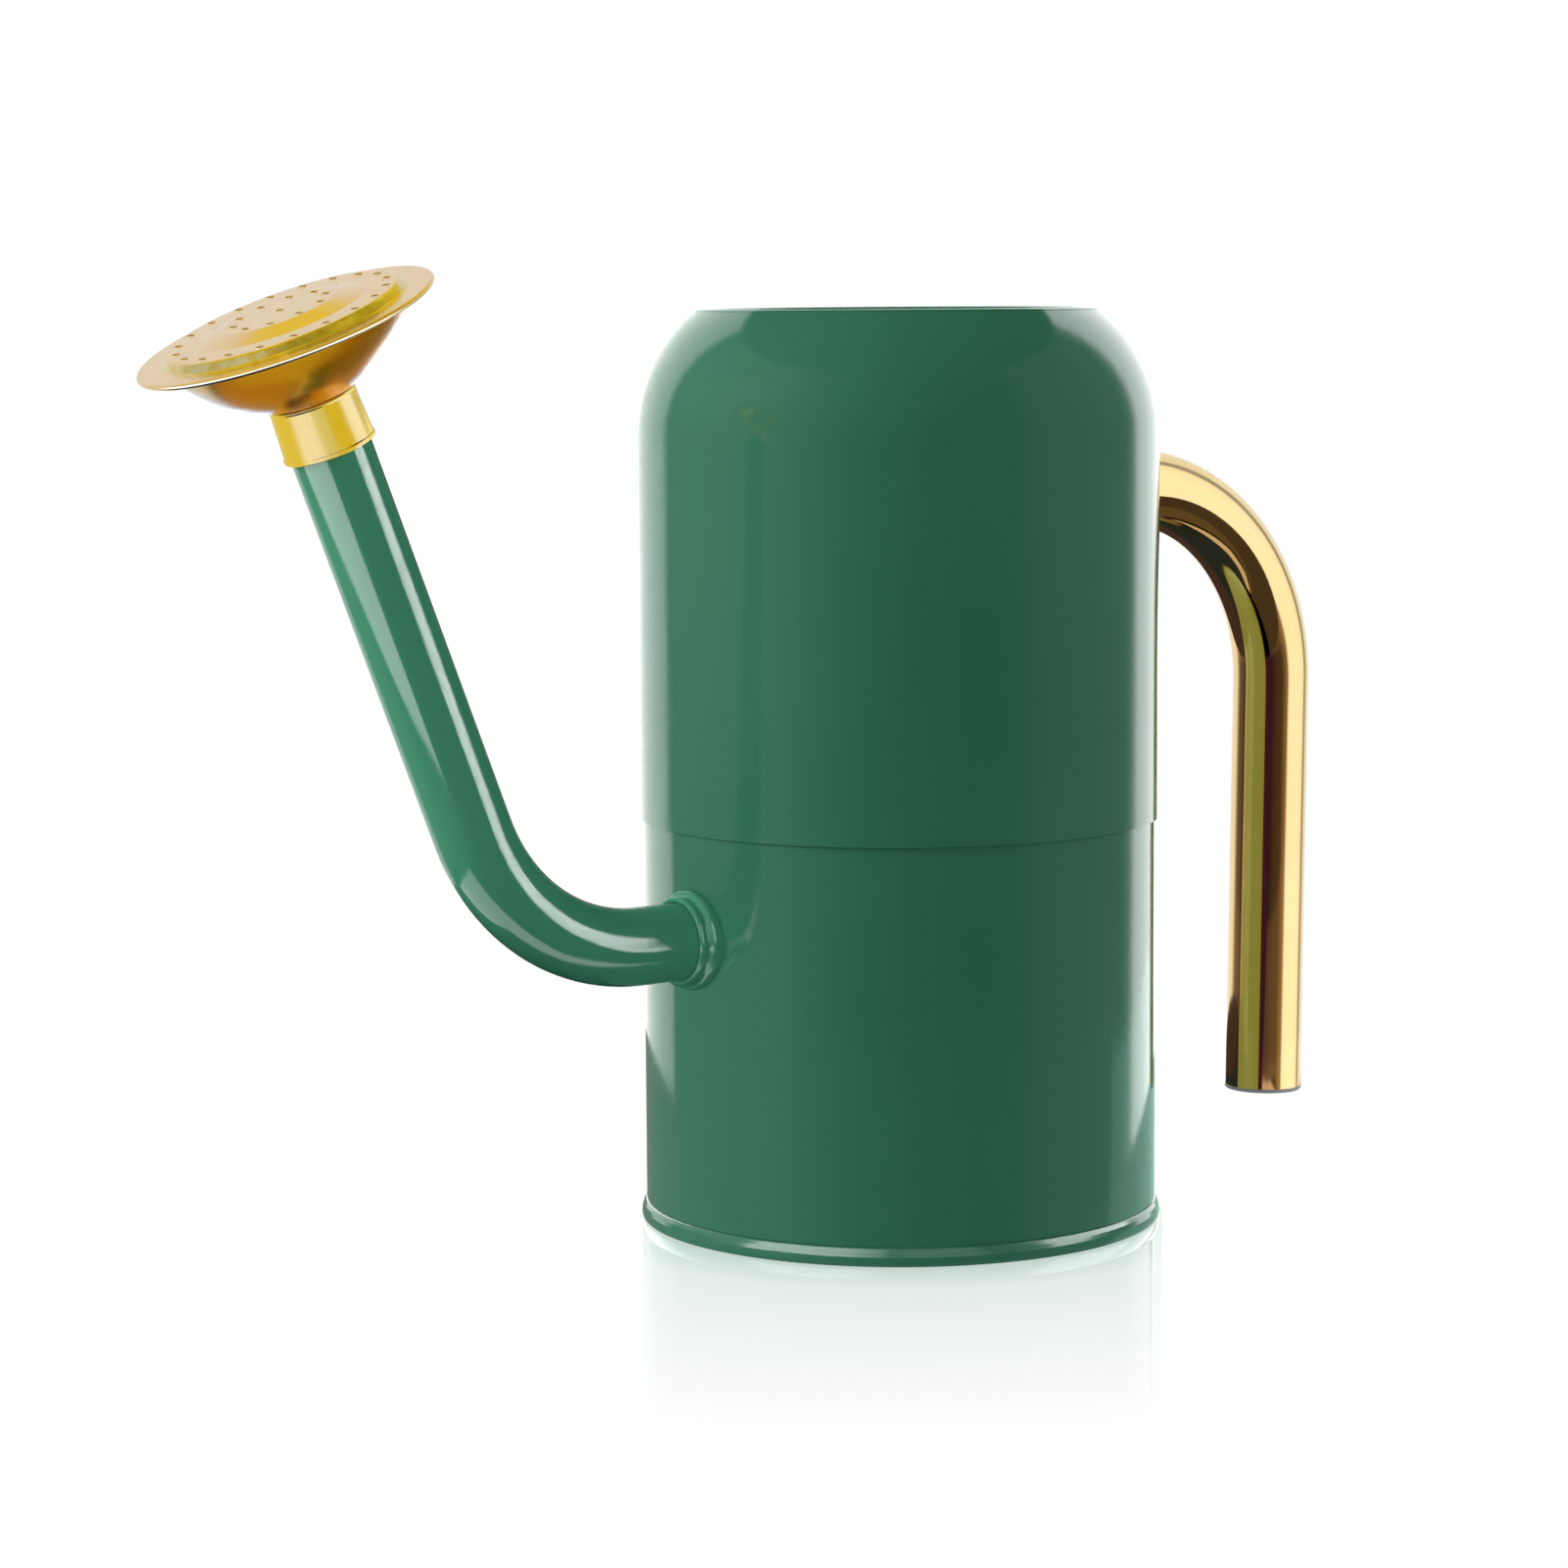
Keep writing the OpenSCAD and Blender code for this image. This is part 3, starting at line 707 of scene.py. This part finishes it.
def face_outline():
    """Section of the pressed sheet: a raised middle, a ring, the step down to the edge, and the hem."""
    hem, inner = ROSE_R - HEM_R, ROSE_R - 1.1
    top = [(0, MIDDLE_Z, 0), (14.2, MIDDLE_Z, 3.0), (22.0, RING_Z, 2.5), (30.2, RING_Z, 1.3),
           (31.7, EDGE_Z, 0.9), (inner, EDGE_Z - 0.05, 0.3)]
    bead = arc((hem, EDGE_Z - HEM_R), HEM_R, 100, -80, 10)
    middle, ring, edge = (z - FACE_SHEET for z in (MIDDLE_Z, RING_Z, EDGE_Z))
    under = [(inner, edge, 0), (31.3, edge, 0.6), (29.8, ring, 0.9), (21.9, ring, 2.5), (14.1, middle, 3.0),
             (0, middle, 0)]
    return rounded(top + bead + under)


def build_rose_face(material):
    piece = revolve("rose_spray_face", face_outline(), 256)
    places = list(hole_places())
    drill(piece, places, HOLE_R, HOLE_DEPTH)
    mesh = bmesh.new()
    mesh.from_mesh(piece.data)
    add_lips(mesh, places, LIP_R, LIP_WIRE_R)
    mesh.to_mesh(piece.data)
    mesh.free()
    piece.data.update()
    for face in piece.data.polygons:
        face.use_smooth = True
    piece.data.set_sharp_from_angle(angle=math.radians(50))
    return finish_piece(piece, TIP, material, "brass_face", "rose", "rose_face")


def build_rose_bowl(material):
    """Spun bowl: a foot on the socket, a full round wall, and a flat edge folded under the face's hem."""
    wall_r, sheet, foot_r, middle_r = 44.0, 0.6, 11.0, -4.4
    foot_z, edge_z, edge_r = SOCKET_TOP + 0.01, FACE_LOW, ROSE_R - 1.3
    middle = (middle_r, foot_z + math.sqrt(wall_r ** 2 - (foot_r - middle_r) ** 2))
    foot_turn = -math.degrees(math.acos((foot_r - middle_r) / wall_r))
    edge_turn = -math.degrees(math.asin((middle[1] - edge_z + 0.3) / wall_r))
    knee = middle_r + wall_r * math.cos(math.radians(edge_turn))
    outside = [(10.6, foot_z, 0)] + arc(middle, wall_r, foot_turn, edge_turn)
    edge = [(knee + 0.7, edge_z + 0.03, 0.5), (edge_r, edge_z + 0.05, 0.1), (edge_r, edge_z + 0.4, 0.1),
            (knee - 0.1, edge_z + 0.4, 0.4)]
    inside = arc(middle, wall_r - sheet, edge_turn - 0.5, foot_turn)
    inside += [(8.5, foot_z + 0.65, 0), (8.5, foot_z, 0)]
    piece = revolve("rose_spun_bowl", rounded(outside + edge + inside))
    return finish_piece(piece, TIP, material, "brass_bowl", "rose", "rose_bowl")


def build_rose_socket(material):
    """Turned socket: it tapers towards the bowl, and has a rounded lip at its mouth."""
    bore, low, lip, top = 10.5, SOCKET_LOW, SOCKET_R, SOCKET_TOP
    outline = [(bore, low, 0.15), (lip - 0.05, low, 0.3), (lip, low + 0.9, 0.35),
               (lip - 0.3, low + 1.35, 0.3), (bore + 0.62, top - 1.0, 0.3), (bore + 0.85, top - 0.5, 0.25),
               (bore + 0.6, top, 0.15), (bore, top, 0.1)]
    piece = revolve("rose_turned_socket", rounded(outline))
    return finish_piece(piece, TIP, material, "brass_socket", "rose", "rose_collar")


# ---------- base ----------

def build_base(material):
    """The pan with its edge rolled over the lower shell: full at the foot, and flowing up into the wall."""
    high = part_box("base_pan")[1]
    wall_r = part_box("lower_shell")[1][1] / MM
    bead_r, top, sheet = high[0] / MM, high[2] / MM, 0.7
    rise, pan_r, skin_r = top - sheet, wall_r - sheet - 0.05, wall_r + 0.05
    bead = [(0.25, 0, 0.5), (0, 0.9, 0.5), (0.02, 1.5, 0.6), (0.2, 2.6, 0.6), (0.55, 3.7, 0.6),
            (1.0, 4.6, 0.5)]
    outline = [(0, rise, 0), (pan_r - sheet, rise, 0.4), (pan_r - sheet, 0, 0.3)]
    outline += [(bead_r - inward, up, fillet) for inward, up, fillet in bead]
    outline += [(skin_r, 5.2, 0), (skin_r, 0.8, 0), (pan_r, 0.8, 0), (pan_r, top, 0.3), (0, top, 0)]
    piece = revolve("base_rolled_pan", rounded(outline), 256)
    return finish_piece(piece, Matrix(), material, "green_enamel", "can", "base_pan")


# ---------- spout root ----------

def flange_section(edge, back, front):
    """Section from the outer roll to the bore, as (radius, reach from the can's axis, share of the wall's
    own reach), in millimetres."""
    bore, roll, ridge = edge - 2.98, 0.65, 0.95
    roll_top, ridge_middle = back + 0.7, front - ridge - 0.15
    line = []
    for k in range(13):
        turn = math.radians(-90 + 15 * k)
        line.append((edge - roll + roll * math.cos(turn), roll_top, (1 - math.sin(turn)) / 2))
    line.append((edge - 1.15, roll_top + 0.1, 0))
    for k in range(13):
        turn = math.radians(-75 + 13.75 * k)
        line.append((edge - 1.3 - ridge + ridge * math.cos(turn), ridge_middle + 1.1 * math.sin(turn), 0))
    return line + [(bore, ridge_middle + 0.8, 0), (bore, back, 0), (bore, 0, 1)]


def build_spout_flange(material):
    """Two rolled ridges round the spout's root. The outer one reaches down to the can's round wall."""
    low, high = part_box("spout_flange")
    wall_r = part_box("lower_shell")[1][1] / MM
    edge, middle_z = (high[2] - low[2]) / 2 / MM, (high[2] + low[2]) / 2 / MM
    line = flange_section(edge, -high[0] / MM, -low[0] / MM)
    mesh, steps, rings = bmesh.new(), 144, []
    for i in range(steps):
        turn = 2 * math.pi * i / steps
        ring = []
        for r, reach, on_wall in line:
            aside = r * math.sin(turn)
            wall = math.sqrt(wall_r ** 2 - aside ** 2) - 0.05
            out = wall * on_wall + reach * (1 - on_wall)
            ring.append(mesh.verts.new((-out * MM, aside * MM, (middle_z + r * math.cos(turn)) * MM)))
        rings.append(ring)
    for i in range(steps):
        for k in range(len(line)):
            mesh.faces.new((rings[i][k], rings[i][k - 1], rings[i - 1][k - 1], rings[i - 1][k]))
    piece = add_piece("spout_rolled_flange", mesh)
    return finish_piece(piece, Matrix(), material, "green_enamel", "can", "spout_flange")


# ---------- materials on the CAD nodes ----------

def dress_nodes(finishes):
    for row in frame["record"]["subparts"]:
        mesh = frame["nodes"][row["node"]].data
        mesh.materials.clear()
        mesh.materials.append(finishes[row["material_slot"]])


bpy.context.scene.view_settings.view_transform = "Standard"
finishes = make_finishes()
dress_nodes(finishes)
rose_pieces = [
    build_rose_face(finishes["brass_face"]),
    build_rose_bowl(finishes["brass_bowl"]),
    build_rose_socket(finishes["brass_socket"]),
]
spout_ring = build_spout_flange(finishes["green_enamel"])
base = build_base(finishes["green_enamel"])
add_camera()
add_studio(rose_pieces, spout_ring, base)
